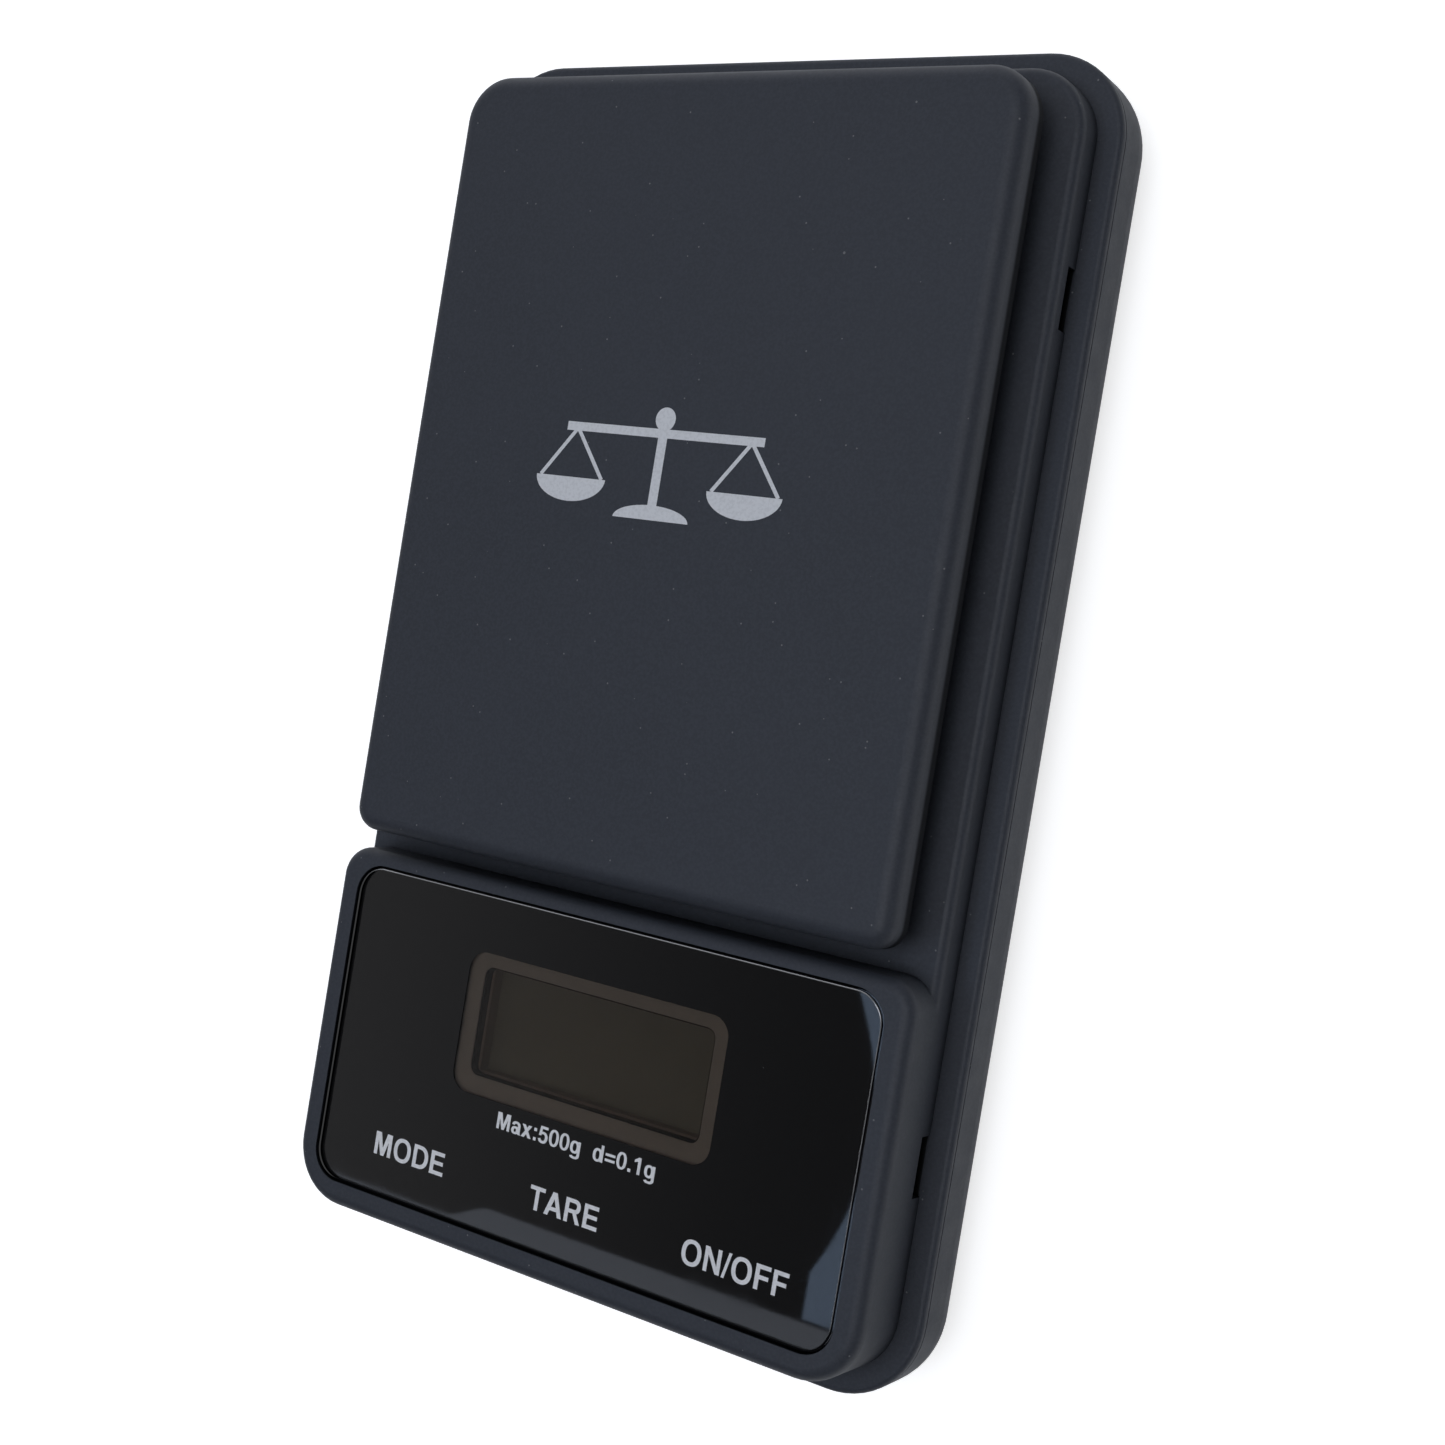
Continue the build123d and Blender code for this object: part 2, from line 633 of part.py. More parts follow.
spring_length = battery_room_length - 2 * contact_thickness - cell_length
with BuildPart() as battery_springs:
    for cell_y, side in zip(cell_places, (-1, 1)):
        coil_start = -side * (room_end - contact_thickness - spring_wire - spring_slack)
        with BuildLine() as coil:
            Helix(pitch=spring_pitch, height=spring_length - 2 * (spring_wire + spring_slack),
                  radius=spring_radius, center=(coil_start, cell_y, cell_axis),
                  direction=(side, 0, 0))
        with BuildSketch(Plane(origin=coil.line @ 0, z_dir=coil.line % 0)) as wire_section:
            Circle(spring_wire)
        sweep(wire_section.sketch, path=coil.line, is_frenet=True)
save(battery_springs.part, "battery_springs")

with BuildPart() as battery_door:
    # plate and hinge barrel in one profile, drawn across the body
    door_reach = latch_y - fit_gap - hinge_y
    with BuildSketch(Plane.YZ.offset(-barrel_end)) as door_profile:
        with Locations((hinge_y, hinge_z)):
            Circle(hinge_barrel_radius)
        with Locations((hinge_y + door_reach / 2, housing_bottom + door_thickness / 2)):
            Rectangle(door_reach, door_thickness)
    extrude(amount=2 * barrel_end)
    free_edge = battery_door.faces().sort_by(Axis.Y)[-1]
    fillet(free_edge.edges().filter_by(Axis.Z), door_corner)
    with BuildSketch(Plane.YZ.offset(-pin_end)) as pin_profile:
        with Locations((hinge_y, hinge_z)):
            Circle(hinge_pin_radius)
    extrude(pin_profile.sketch, amount=2 * pin_end)
    blocks([(0, latch_y)], latch_width, 2 * (latch_reach - fit_gap), housing_bottom, door_top)
    # grip ridges left by shallow grooves
    blocks([(0, latch_y - latch_reach - grip_pitch * n) for n in range(4)], latch_width,
           grip_width, housing_bottom, housing_bottom + grip_depth, Mode.SUBTRACT)
save(battery_door.part, "battery_door")


# ---- wires ----------------------------------------------------------------------------
def wire_run(points, radius, bend):
    """One insulated wire along a bent path."""
    with BuildPart() as run:
        with BuildLine() as route:
            FilletPolyline(*points, radius=bend)
        with BuildSketch(Plane(origin=route.line @ 0, z_dir=route.line % 0)):
            Circle(radius)
        sweep()
    return run.part


gauge_wire_level = beam_top + gauge_thickness + gauge_wire_radius + 0.02
with BuildPart() as load_cell_wires:
    for lane in (-1.5, -0.5, 0.5, 1.5):
        shift = lane * gauge_wire_pitch
        start_y = tray_centre_y + shift
        run_x = gauge_wire_run_x - shift
        turn_y = board_back + gauge_wire_turn - shift
        end_x = gauge_wire_end_x - shift
        add(wire_run(
            [
                (gauge_wire_start_x, start_y, gauge_wire_level),
                (run_x, start_y, gauge_wire_level),
                (run_x, turn_y, gauge_wire_level),
                (end_x, turn_y, gauge_wire_level),
                (end_x, solder_y, gauge_wire_level),
                (end_x, solder_y, board_top),
            ],
            gauge_wire_radius, gauge_wire_bend))
save(load_cell_wires.part, "load_cell_wires")

battery_wire_level = board_top + battery_wire_radius
with BuildPart() as battery_wires:
    for cell_y, lane in zip(cell_places, (1, -1)):
        shift = lane * battery_wire_pitch / 2
        run_x = battery_wire_run_x - shift
        turn_y = board_back + battery_wire_turn + shift
        end_x = battery_wire_end_x - shift
        add(wire_run(
            [
                (room_end, cell_y, battery_wire_level),
                (run_x, cell_y, battery_wire_level),
                (run_x, turn_y, battery_wire_level),
                (end_x, turn_y, battery_wire_level),
                (end_x, solder_y, battery_wire_level),
            ],
            battery_wire_radius, battery_wire_bend))
save(battery_wires.part, "battery_wires")

# ---- housing screws and feet ----------------------------------------------------------
housing_screws = cross_head_screws(housing_screw_places, housing_screw_seat,
                                   deck_under - 0.6, housing_screw_head,
                                   housing_screw_head_height, housing_screw_shank)
save(housing_screws.part, "housing_screws")

with BuildPart() as rubber_feet:
    discs(foot_places, foot_radius, 0, housing_bottom + foot_recess)
    fillet(rubber_feet.faces().filter_by(Plane.XY).edges().group_by(Axis.Z)[0],
           foot_edge_round)
save(rubber_feet.part, "rubber_feet")
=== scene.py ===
"""Looks of the digital pocket gram scale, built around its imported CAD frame."""

import math

import bpy
from mathutils import Matrix, Vector


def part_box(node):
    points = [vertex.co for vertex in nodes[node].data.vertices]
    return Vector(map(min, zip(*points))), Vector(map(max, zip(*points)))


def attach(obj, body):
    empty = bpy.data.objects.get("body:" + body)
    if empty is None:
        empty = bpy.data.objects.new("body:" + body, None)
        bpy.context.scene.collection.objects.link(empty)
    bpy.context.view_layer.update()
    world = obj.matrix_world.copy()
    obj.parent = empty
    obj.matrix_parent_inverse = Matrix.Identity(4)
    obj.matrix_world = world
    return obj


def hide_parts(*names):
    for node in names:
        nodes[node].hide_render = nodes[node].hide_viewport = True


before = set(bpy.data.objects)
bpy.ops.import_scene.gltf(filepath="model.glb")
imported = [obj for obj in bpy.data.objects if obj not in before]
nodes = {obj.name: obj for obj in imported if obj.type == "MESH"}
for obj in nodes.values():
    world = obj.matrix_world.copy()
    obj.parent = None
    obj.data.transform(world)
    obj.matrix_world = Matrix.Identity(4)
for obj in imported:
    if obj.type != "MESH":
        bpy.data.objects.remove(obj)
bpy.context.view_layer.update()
MM = 0.001
BLACK = (0.0, 0.0, 0.0)
WHITE = (1.0, 1.0, 1.0)


# ---- node graphs ------------------------------------------------------------------------
class Graph:
    """One procedural material or world; sockets and plain values are passed the same way."""

    def __init__(self, name, world=False):
        owners = bpy.data.worlds if world else bpy.data.materials
        self.owner = owners.new(name)
        self.owner.use_nodes = True
        self.tree = self.owner.node_tree
        self.tree.nodes.clear()
        kind = "ShaderNodeOutputWorld" if world else "ShaderNodeOutputMaterial"
        self.output = self.tree.nodes.new(kind)

    def put(self, socket, value):
        if isinstance(value, bpy.types.NodeSocket):
            self.tree.links.new(value, socket)
        elif isinstance(value, (tuple, list)) and len(value) == 3 and socket.type == "RGBA":
            socket.default_value = (*value, 1.0)
        else:
            socket.default_value = value

    def node(self, kind, inputs=None, **settings):
        made = self.tree.nodes.new(kind)
        for key, value in settings.items():
            setattr(made, key, value)
        for key, value in (inputs or {}).items():
            self.put(made.inputs[key], value)
        return made

    def math(self, operation, a, b=0.0):
        return self.node("ShaderNodeMath", {0: a, 1: b}, operation=operation).outputs[0]

    def add(self, *terms):
        total = terms[0]
        for term in terms[1:]:
            total = self.math("ADD", total, term)
        return total

    def times(self, *terms):
        product = terms[0]
        for term in terms[1:]:
            product = self.math("MULTIPLY", product, term)
        return product

    def ramp(self, value, low, high, start=0.0, end=1.0):
        """Smooth step from start at low to end at high."""
        made = self.node("ShaderNodeMapRange", {
            "Value": value, "From Min": low, "From Max": high, "To Min": start, "To Max": end,
        }, interpolation_type="SMOOTHSTEP")
        return made.outputs["Result"]

    def mix(self, factor, a, b):
        made = self.node("ShaderNodeMix", {"Factor": factor, 6: a, 7: b}, data_type="RGBA")
        return made.outputs[2]

    def split(self, vector):
        made = self.node("ShaderNodeSeparateXYZ", {0: vector})
        return made.outputs["X"], made.outputs["Y"], made.outputs["Z"]

    def facing(self):
        """Parts of the surface normal: east, north and up."""
        return self.split(self.node("ShaderNodeNewGeometry").outputs["Normal"])

    def place(self, scale=(1, 1, 1)):
        """Position in the object's own frame, in millimetres, stretched by scale."""
        coords = self.node("ShaderNodeTexCoord")
        mapped = self.node("ShaderNodeMapping", {
            "Vector": coords.outputs["Object"], "Scale": [s / MM for s in scale],
        })
        return mapped.outputs["Vector"]

    def noise(self, vector, size, detail=2.0, roughness=0.5):
        """Noise whose blobs are about size millimetres across."""
        made = self.node("ShaderNodeTexNoise", {
            "Vector": vector, "Scale": 1.0 / size, "Detail": detail, "Roughness": roughness,
        })
        return made.outputs["Fac"]

    def specks(self, vector, spacing, radius, share):
        """Sparse round specks: a share of the cells holds one of the given radius in mm."""
        cells = self.node("ShaderNodeTexVoronoi", {"Vector": vector, "Scale": 1.0 / spacing})
        chance = self.node("ShaderNodeSeparateColor", {"Color": cells.outputs["Color"]})
        near = self.math("LESS_THAN", cells.outputs["Distance"], radius / spacing)
        picked = self.math("LESS_THAN", chance.outputs[0], share)
        return self.times(near, picked)

    def bump(self, height, depth, strength=1.0, normal=None):
        """Normal disturbed by a height pattern that is depth millimetres deep."""
        made = self.node("ShaderNodeBump", {
            "Height": height, "Distance": depth * MM, "Strength": strength})
        if normal is not None:
            self.put(made.inputs["Normal"], normal)
        return made.outputs["Normal"]

    def blend(self, factor, a, b):
        return self.node("ShaderNodeMixShader", {0: factor, 1: a, 2: b}).outputs[0]

    def backfacing(self):
        return self.node("ShaderNodeNewGeometry").outputs["Backfacing"]

    def gloss(self, roughness):
        return self.node("ShaderNodeBsdfGlossy", {
            "Color": WHITE, "Roughness": roughness}).outputs[0]

    def through(self, colour):
        return self.node("ShaderNodeBsdfTransparent", {"Color": colour}).outputs[0]

    def principled(self, **inputs):
        """Principled shader; base_color=... stands for the input Base Color, and so on."""
        names = {key.replace("_", " ").title(): value for key, value in inputs.items()}
        made = self.node("ShaderNodeBsdfPrincipled", {
            key.replace("Ior", "IOR"): value for key, value in names.items()})
        return made.outputs[0]

    def done(self, shader):
        self.tree.links.new(shader, self.output.inputs["Surface"])
        return self.owner


def shade(colour, factor):
    return [channel * factor for channel in colour]


# ---- materials --------------------------------------------------------------------------
CLEAR_IOR = 1.47
PAINTED_EDGE_GLOW = 0.045
DUST = (0.42, 0.42, 0.41)
TARNISH = (0.25, 0.22, 0.18)
# how far a gap is judged, in mm, and the share of the colour left where shade is painted in a gap
# and on the tray's skirt
GAP_REACH = 6.0
GAP_LIGHT = 0.03
SKIRT_LIGHT = 0.2


def shell_plastic(name, colour, grain=0.32, dust=0.28, lined=(), gaps=False, skirt=None):
    """Soft-touch moulded plastic: fine spark-eroded grain, faint handling marks, stray dust.

    lined lists wells whose walls get a colour of their own, or near-black painted shade: centre,
    half size, top, colour.
    gaps paints shade into narrow gaps: ambient occlusion darkens the colour there. skirt is
    (dark, lit): heights in mm between which the painted shade on the sides fades out.
    """
    g = Graph(name)
    where = g.place()
    up = g.facing()[2]
    cloud = g.noise(where, 38.0, 3.0)
    mottle = g.noise(where, 2.6, 3.0, 0.6)
    fine = g.noise(where, grain, 2.0, 0.6)
    pits = g.noise(where, grain * 2.7, 1.0)
    tone = g.mix(g.ramp(cloud, 0.35, 0.65), colour, shade(colour, 1.08))
    tone = g.mix(g.ramp(mottle, 0.3, 0.7, 0.0, 0.12), tone, shade(colour, 1.5))
    tone = g.mix(g.ramp(fine, 0.35, 0.7, 0.0, 0.5), tone, shade(colour, 1.5))
    # rounded edges are handled most: slightly smoother there
    edge = g.times(g.ramp(up, 0.12, 0.45), g.ramp(up, 0.985, 0.8))
    worn = g.times(edge, g.ramp(mottle, 0.38, 0.62))
    # dust settles on the faces that look up
    dots = g.math("MAXIMUM", g.specks(where, 1.2, 0.09, dust), g.specks(where, 5.3, 0.16, dust))
    lint = g.specks(g.place((1.0, 0.22, 1.0)), 2.9, 0.05, dust * 0.5)
    settled = g.times(g.math("MAXIMUM", dots, lint), g.ramp(up, 0.3, 0.8))
    tone = g.mix(g.times(settled, 0.30), tone, DUST)
    x, y, z = g.split(where)
    for centre, half, top, lining in lined:
        in_x = g.math("LESS_THAN", g.math("ABSOLUTE", g.add(x, -centre[0])), half[0])
        in_y = g.math("LESS_THAN", g.math("ABSOLUTE", g.add(y, -centre[1])), half[1])
        tone = g.mix(g.times(in_x, in_y, g.math("LESS_THAN", z, top)), tone, lining)
    clear = 1.0
    if gaps:
        # painted shade: ambient occlusion darkens the colour in tight gaps; faces that look down
        # are left as they are
        air = g.node("ShaderNodeAmbientOcclusion", {"Distance": GAP_REACH * MM}, samples=6)
        clear = g.math("MAXIMUM", g.ramp(air.outputs["AO"], 0.22, 0.62, GAP_LIGHT, 1.0),
                       g.ramp(up, -0.1, -0.4))
    if skirt:
        # painted shade: the tray's sides are darkened below the skirt heights
        side = g.times(g.ramp(z, skirt[0], skirt[1], 1.0, 0.0), g.ramp(up, 0.6, 0.2))
        clear = g.times(clear, g.ramp(side, 0.0, 1.0, 1.0, SKIRT_LIGHT))
    # painted shade: clear scales the colour here and the specular level below
    tone = g.mix(clear, BLACK, tone)
    rough = g.ramp(mottle, 0.2, 0.8, 0.50, 0.60)
    rough = g.math("SUBTRACT", rough, g.times(worn, 0.08))
    normal = g.bump(pits, 0.010, 0.35)
    normal = g.bump(fine, 0.012, 0.55, normal)
    return g.done(g.principled(
        base_color=tone, roughness=rough, specular_ior_level=g.times(clear, 0.34),
        normal=normal))


def plain_plastic(name, colour, rough=0.45, grain=0.25):
    """Hidden moulded plastic with flow marks."""
    g = Graph(name)
    flow = g.noise(g.place((1.0, 0.2, 1.0)), 4.0, 3.0)
    tone = g.mix(flow, shade(colour, 0.85), shade(colour, 1.2))
    return g.done(g.principled(
        base_color=tone, roughness=g.ramp(flow, 0.2, 0.8, rough - 0.06, rough + 0.06),
        normal=g.bump(g.noise(g.place(), grain, 2.0), 0.01, 0.4)))


def brushed_metal(name, colour, rough, lay=(1.0, 0.04, 1.0)):
    """Metal with a directional lay, fine scratches and a little tarnish."""
    g = Graph(name)
    strokes = g.noise(g.place(lay), 0.07, 3.0, 0.7)
    stain = g.noise(g.place(), 1.7, 4.0, 0.6)
    tone = g.mix(g.ramp(stain, 0.55, 0.8, 0.0, 0.5), colour, TARNISH)
    return g.done(g.principled(
        base_color=tone, metallic=1.0,
        roughness=g.ramp(strokes, 0.25, 0.75, rough - 0.08, rough + 0.12),
        normal=g.bump(strokes, 0.006, 0.35)))


def glossy_print(name, colour):
    """Ink behind a hard clear coat: gently wavy mirror finish with a few dust specks."""
    g = Graph(name)
    where = g.place()
    cover = g.noise(where, 0.35, 2.0)
    tone = g.mix(g.ramp(cover, 0.3, 0.6), shade(colour, 0.9), colour)
    dust = g.specks(where, 2.3, 0.06, 0.05)
    tone = g.mix(g.times(dust, 0.3), tone, (0.35, 0.35, 0.34))
    smear = g.noise(g.place((1.0, 0.45, 1.0)), 7.0, 4.0, 0.65)
    return g.done(g.principled(
        base_color=tone, roughness=0.7, specular_ior_level=0.0, coat_weight=1.0,
        coat_ior=CLEAR_IOR, coat_roughness=g.ramp(smear, 0.45, 0.8, 0.015, 0.045),
        coat_normal=g.bump(g.noise(where, 30.0, 0.0), 0.02)))


def clear_pane(name, colour):
    """Smoked clear pane: a weak mirror in front, tinted once by its front face."""
    g = Graph(name)
    cloud = g.noise(g.place(), 6.0, 2.0)
    tint = g.mix(cloud, shade(colour, 0.96), shade(colour, 1.04))
    fresnel = g.node("ShaderNodeFresnel", {"IOR": CLEAR_IOR}).outputs[0]
    front = g.blend(fresnel, g.through(tint), g.gloss(0.03))
    return g.done(g.blend(g.backfacing(), front, g.through(WHITE)))


def clear_edge(name):
    """Water-clear sheet: the print below carries its mirror, the chamfered rim is painted
    near-black as shade and glints mostly on its far side, and the cut sides glow a little, painted
    light for what the sheet pipes to them."""
    g = Graph(name)
    _, north, up = g.facing()
    scratch = g.noise(g.place((1.0, 0.3, 1.0)), 0.4, 3.0, 0.6)
    gloss = g.gloss(g.ramp(scratch, 0.4, 0.8, 0.12, 0.3))
    # painted light: the cut sides glow, standing in for the light that the sheet pipes to them
    painted_edge_glow = g.node("ShaderNodeEmission", {
        "Color": (0.95, 0.97, 1.0), "Strength": PAINTED_EDGE_GLOW}).outputs[0]
    upright = g.ramp(g.math("ABSOLUTE", up), 0.25, 0.15)
    rim = g.times(g.ramp(up, 0.985, 0.93), g.ramp(up, 0.05, 0.3))
    rim = g.times(rim, g.math("SUBTRACT", 1.0, g.backfacing()))
    # painted shade and highlight: the rim is painted nearly black, and only its far side mirrors
    # much light
    dark = g.node("ShaderNodeBsdfDiffuse", {"Color": (0.004, 0.004, 0.005)}).outputs[0]
    glint = g.blend(g.ramp(north, 0.05, 0.35, 0.06, 0.5), dark, gloss)
    sheet = g.blend(rim, g.through(WHITE), glint)
    return g.done(g.blend(g.times(upright, g.backfacing()), sheet, painted_edge_glow))


def ink(name, colour, rough):
    """Screen-printed ink: slight mesh texture, slightly uneven cover."""
    g = Graph(name)
    where = g.place()
    cover = g.noise(where, 0.35, 2.0)
    tone = g.mix(g.ramp(cover, 0.3, 0.6), shade(colour, 0.9), colour)
    return g.done(g.principled(
        base_color=tone, roughness=rough, specular_ior_level=0.2,
        normal=g.bump(g.noise(where, 0.12, 1.0), 0.004, 0.4)))


def liquid_crystal(name):
    """Reflective display cell, switched off: grey-green polariser with a fine mottle."""
    g = Graph(name)
    where = g.place()
    tone = g.mix(g.noise(where, 0.09, 2.0), (0.235, 0.232, 0.185), (0.285, 0.28, 0.225))
    cloud = g.noise(where, 9.0, 2.0)
    tone = g.mix(g.ramp(cloud, 0.3, 0.7, 0.0, 0.35), tone, (0.22, 0.215, 0.175))
    return g.done(g.principled(
        base_color=tone, roughness=0.32, specular_ior_level=0.5,
        coat_weight=0.6, coat_roughness=0.08))


def pale_tape(name, colour):
    """Double-sided tape seen through the window."""
    g = Graph(name)
    where = g.place()
    tone = g.mix(g.noise(where, 1.1, 3.0), shade(colour, 0.9), shade(colour, 1.06))
    return g.done(g.principled(
        base_color=tone, roughness=0.7, specular_ior_level=0.2,
        normal=g.bump(g.noise(where, 0.3, 2.0), 0.006, 0.5)))


def soft_rubber(name, colour):
    """Moulded rubber with dull grey bloom."""
    g = Graph(name)
    where = g.place()
    bloom = g.noise(where, 1.4, 4.0, 0.6)
    tone = g.mix(g.ramp(bloom, 0.5, 0.8, 0.0, 0.5), colour, (0.09, 0.088, 0.083))
    return g.done(g.principled(
        base_color=tone, roughness=0.75, specular_ior_level=0.3, sheen_weight=0.1,
        normal=g.bump(g.noise(where, 0.22, 2.0), 0.02, 0.5)))


def circuit_laminate(name):
    """Solder mask over copper tracks."""
    g = Graph(name)
    lanes = g.node("ShaderNodeTexVoronoi", {"Vector": g.place(), "Scale": 0.45},
                   distance="MANHATTAN", feature="DISTANCE_TO_EDGE")
    track = g.math("LESS_THAN", lanes.outputs["Distance"], 0.09)
    tone = g.mix(track, (0.012, 0.075, 0.035), (0.02, 0.14, 0.06))
    return g.done(g.principled(
        base_color=tone, roughness=0.28, coat_weight=0.3, normal=g.bump(track, 0.03, 0.5)))


def cell_wrap(name, between_y, band_x, tip_x):
    """Shrink-wrapped dry cells, head to tail: dark wrap, copper-coloured band, steel tips."""
    g = Graph(name)
    x, y, _ = g.split(g.place())
    side = g.math("SUBTRACT", g.times(g.math("GREATER_THAN", y, between_y), 2.0), 1.0)
    band = g.math("GREATER_THAN", g.times(x, side), band_x)
    tip = g.math("GREATER_THAN", g.math("ABSOLUTE", x), tip_x)
    scuff = g.noise(g.place((0.15, 1.0, 1.0)), 0.5, 4.0, 0.6)
    tone = g.mix(band, (0.016, 0.017, 0.02), (0.55, 0.27, 0.09))
    tone = g.mix(g.ramp(scuff, 0.6, 0.8, 0.0, 0.4), tone, (0.3, 0.29, 0.27))
    tone = g.mix(tip, tone, (0.72, 0.71, 0.69))
    return g.done(g.principled(
        base_color=tone, roughness=g.ramp(scuff, 0.3, 0.7, 0.2, 0.38),
        metallic=g.math("MAXIMUM", band, tip), coat_weight=0.4))


def striped_elastomer(name):
    """Conductive and insulating layers, a fraction of a millimetre each."""
    g = Graph(name)
    x = g.split(g.place())[0]
    stripe = g.math("GREATER_THAN", g.math("SINE", g.times(x, 30.0)), 0.1)
    return g.done(g.principled(
        base_color=g.mix(stripe, (0.62, 0.58, 0.5), (0.03, 0.03, 0.03)), roughness=0.7))


def wire_coat(name, colour):
    """Soft wire insulation with a little grime."""
    g = Graph(name)
    grime = g.noise(g.place(), 0.8, 3.0)
    return g.done(g.principled(
        base_color=g.mix(grime, shade(colour, 0.75), colour), roughness=0.42,
        normal=g.bump(grime, 0.01, 0.4)))


# ---- which node wears which material ----------------------------------------------------
CHARCOAL = (0.0335, 0.0372, 0.0465)
REVEAL = (0.36, 0.29, 0.25)
TAPE = (0.52, 0.49, 0.465)
SLOT_SHADE = (0.002, 0.002, 0.0025)
SMOKED = (0.37, 0.335, 0.30)


def middle_y(name):
    low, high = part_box(name)
    return (low.y + high.y) / 2 / MM


def top_of(name):
    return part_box(name)[1].z / MM


# wells of the top housing, in mm: the display's pale reveal, and the lid slots, whose walls are
# painted near-black, painted shade for the dark inside of the housing that they open into
REVEAL_HALF = (15.2, 6.4)
SLOT_HALF = (35.8, 3.0)
SLOT_Y = 41.6
SLOT_TOP = 11.8
wells = [((0.0, middle_y("lcd_display")), REVEAL_HALF, top_of("overlay_adhesive"), REVEAL)]
wells += [((0.0, side * SLOT_Y), SLOT_HALF, SLOT_TOP, SLOT_SHADE) for side in (-1, 1)]

tray_top = top_of("weighing_tray")
tray_skirt_shade = (tray_top - 3.0, tray_top - 2.0)
cells_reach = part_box("aaa_cells")[1].x / MM

key_plastic = plain_plastic("moulded_key", (0.10, 0.10, 0.105))
stem_plastic = plain_plastic("moulded_stem", (0.03, 0.03, 0.03), 0.35)
zinc = brushed_metal("zinc_plate", (0.62, 0.62, 0.63), 0.28)
nickel = brushed_metal("nickel_plate", (0.68, 0.66, 0.62), 0.22, lay=(1.0, 1.0, 0.1))
black_print = glossy_print("black_print", (0.004, 0.004, 0.0045))
white_print = glossy_print("white_print", (0.86, 0.86, 0.87))
mark_print = ink("tray_print", (0.76, 0.77, 0.79), 0.5)

NODE_MATERIALS = {
    "bottom_housing": shell_plastic("shell_bottom", CHARCOAL, grain=0.34, dust=0.15),
    "top_housing": shell_plastic("shell_top", CHARCOAL, lined=wells, gaps=True),
    "weighing_tray": shell_plastic(
        "shell_tray", CHARCOAL, grain=0.30, dust=0.24, gaps=True, skirt=tray_skirt_shade),
    "battery_door": shell_plastic("shell_door", CHARCOAL, grain=0.22, dust=0.1),
    "overlay_adhesive": pale_tape("tape", TAPE),
    "lcd_display": liquid_crystal("display_cell"),
    "lcd_frame": plain_plastic("moulded_frame", REVEAL),
    "zebra_strips": striped_elastomer("zebra"),
    "circuit_board": circuit_laminate("laminate"),
    "board_components": plain_plastic("moulded_epoxy", (0.018, 0.018, 0.019), 0.5, 0.1),
    "tact_switch_bodies": nickel,
    "mode_key": key_plastic,
    "tare_key": key_plastic,
    "power_key": key_plastic,
    "mode_switch_stem": stem_plastic,
    "tare_switch_stem": stem_plastic,
    "power_switch_stem": stem_plastic,
    "board_screws": zinc,
    "housing_screws": zinc,
    "load_cell_base_screws": zinc,
    "platform_screws": zinc,
    "overload_stop_screw": brushed_metal("turned_brass", (0.74, 0.56, 0.27), 0.25),
    "load_cell": brushed_metal("milled_aluminium", (0.82, 0.83, 0.85), 0.27),
    "strain_gauges": plain_plastic("gauge_foil", (0.55, 0.30, 0.07), 0.3, 0.15),
    "load_cell_wires": wire_coat("gauge_wire", (0.42, 0.03, 0.02)),
    "battery_wires": wire_coat("battery_wire", (0.05, 0.05, 0.05)),
    "platform_carrier": plain_plastic("moulded_carrier", (0.022, 0.023, 0.026), 0.5),
    "battery_contact_plates": nickel,
    "battery_springs": nickel,
    "aaa_cells": cell_wrap(
        "cell_wrap", middle_y("aaa_cells"), cells_reach * 0.5, cells_reach - 1.0),
    "rubber_feet": soft_rubber("foot_rubber", (0.018, 0.018, 0.018)),
}
for node_name, finish in NODE_MATERIALS.items():
    nodes[node_name].data.materials.clear()
    nodes[node_name].data.materials.append(finish)


# ---- outlines, in mm --------------------------------------------------------------------
BOW_STEPS = 40
BOW_POWER = 2.3  # slightly squarer than an ellipse (2), as bold letters are


def rounded_outline(centre, width, length, corner, steps=14):
    """Points of a rounded rectangle, each corner in that many steps."""
    points = []
    reach_x, reach_y = width / 2 - corner, length / 2 - corner
    for turn, (sx, sy) in enumerate(((1, 1), (-1, 1), (-1, -1), (1, -1))):
        for step in range(steps + 1):
            angle = math.radians(90 * turn + 90 * step / steps)
            points.append((centre[0] + sx * reach_x + corner * math.cos(angle),
                           centre[1] + sy * reach_y + corner * math.sin(angle)))
    return points


def box(x0, y0, x1, y1):
    """Rectangle between two opposite corners."""
    return [(x0, y0), (x1, y0), (x1, y1), (x0, y1)]


def slant(bottom, top, low=0.0, high=1.0):
    """Stroke cut level at both ends; bottom and top are its (left, right) there."""
    return [(bottom[0], low), (bottom[1], low), (top[1], high), (top[0], high)]


def bow(centre, radius, thickness, start=0.0, end=360.0):
    """Oval band between two angles in degrees; radius and thickness are (x, y) pairs."""
    outer, inner = [], []
    for step in range(BOW_STEPS + 1):
        angle = math.radians(start + (end - start) * step / BOW_STEPS)
        cos, sin = math.cos(angle), math.sin(angle)
        swell = (abs(cos) ** BOW_POWER + abs(sin) ** BOW_POWER) ** (-1 / BOW_POWER)
        outer.append((centre[0] + radius[0] * swell * cos, centre[1] + radius[1] * swell * sin))
        inner.append((centre[0] + (radius[0] - thickness[0]) * swell * cos,
                      centre[1] + (radius[1] - thickness[1]) * swell * sin))
    return outer + inner[::-1]


